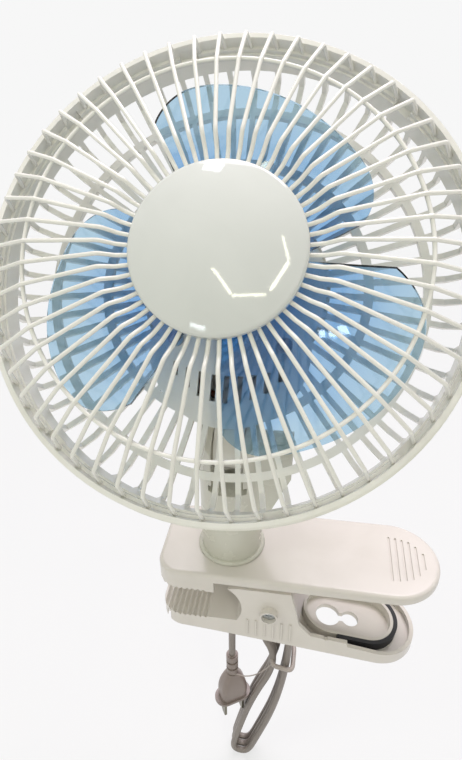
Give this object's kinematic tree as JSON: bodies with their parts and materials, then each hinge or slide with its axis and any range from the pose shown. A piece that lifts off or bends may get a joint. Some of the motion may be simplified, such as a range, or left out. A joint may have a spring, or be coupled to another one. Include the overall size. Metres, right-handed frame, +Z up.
{
  "type": "clip fan",
  "caption": "Small clip-on desk fan: round wire-ribbed guard with blue impeller on a tilting neck, swivelling column and sprung table clip with a bundled power cord.",
  "frame": {"origin": "middle of the upper jaw's gripping face, which rests on the table's top", "axes": "+Z up, +X along the clip's handles away from the table edge, the fan faces -Y tilted up"},
  "size_m": [0.1919, 0.1345, 0.4682],
  "materials": {
    "body_plastic": "moulded ABS, gloss",
    "band_rubber": "matt",
    "screw_steel": "zinc plated",
    "spring_steel": "drawn wire",
    "washer_steel": "zinc plated",
    "washer_plastic": "nylon",
    "core_steel": "stacked laminations",
    "bobbin_plastic": "nylon",
    "coil_copper": "enamelled copper wire",
    "bracket_steel": "pressed sheet",
    "bush_bronze": "sintered bronze",
    "switch_plastic": "phenolic",
    "blade_plastic": "clear blue moulded styrene",
    "shaft_steel": "ground",
    "cord_pvc": "soft PVC",
    "tie_pvc": "soft PVC",
    "pin_brass": "nickel-plated brass, dull"
  },
  "bodies": {
    "upper_clip": {"upper_arm": "body_plastic", "clip_spring": "spring_steel", "cord_gland": "cord_pvc", "cord_drop": "cord_pvc", "cord_hank": "cord_pvc", "cord_plug_lead": "cord_pvc", "cord_tie": "tie_pvc", "plug": "cord_pvc", "plug_pins": "pin_brass"},
    "lower_clip": {"lower_arm": "body_plastic", "grip_band": "band_rubber", "hinge_screw": "screw_steel", "hinge_nut": "screw_steel"},
    "column": {"column": "body_plastic", "swivel_washer": "washer_steel", "swivel_screw": "screw_steel", "tilt_bolt": "screw_steel", "tilt_nut": "screw_steel", "tilt_washers": "washer_plastic"},
    "head": {"motor_housing": "body_plastic", "rear_guard": "body_plastic", "front_guard": "body_plastic", "front_cap": "body_plastic", "guard_screws": "screw_steel", "stator": "core_steel", "bobbins": "bobbin_plastic", "coils": "coil_copper", "front_bracket": "bracket_steel", "rear_bracket": "bracket_steel", "front_bushing": "bush_bronze", "rear_bushing": "bush_bronze", "motor_studs": "screw_steel", "motor_spacers": "bracket_steel", "speed_switch": "switch_plastic"},
    "impeller": {"impeller": "blade_plastic", "impeller_nut": "blade_plastic", "shaft": "shaft_steel", "rotor": "core_steel", "thrust_washers": "washer_plastic"},
    "speed_dial": {"speed_dial": "body_plastic"}
  },
  "joints": [
    {"name": "clip_hinge", "type": "hinge", "parent": "upper_clip", "child": "lower_clip", "pos_m": [0.04, 0, -0.013], "axis": [0, 1, 0], "range_deg": [-28, 22.5], "stiffness_Nm_per_rad": 0.9, "deforming": ["clip_spring"]},
    {"name": "swivel", "type": "hinge", "parent": "upper_clip", "child": "column", "pos_m": [0.019, 0, 0.011], "axis": [0, 0, 1], "range_deg": [-90, 90]},
    {"name": "tilt", "type": "hinge", "parent": "column", "child": "head", "pos_m": [0.019, 0, 0.07], "axis": [-1, 0, 0], "range_deg": [-45, 50]},
    {"name": "impeller_spin", "type": "hinge", "parent": "head", "child": "impeller", "pos_m": [0.019, -0.0009, 0.14996], "axis": [0, -0.7923, 0.6101], "continuous": true},
    {"name": "dial_turn", "type": "hinge", "parent": "head", "child": "speed_dial", "pos_m": [0.019, 0.04285, 0.0986], "axis": [0, -0.7923, 0.6101], "range_deg": [0, 240]}
  ]
}
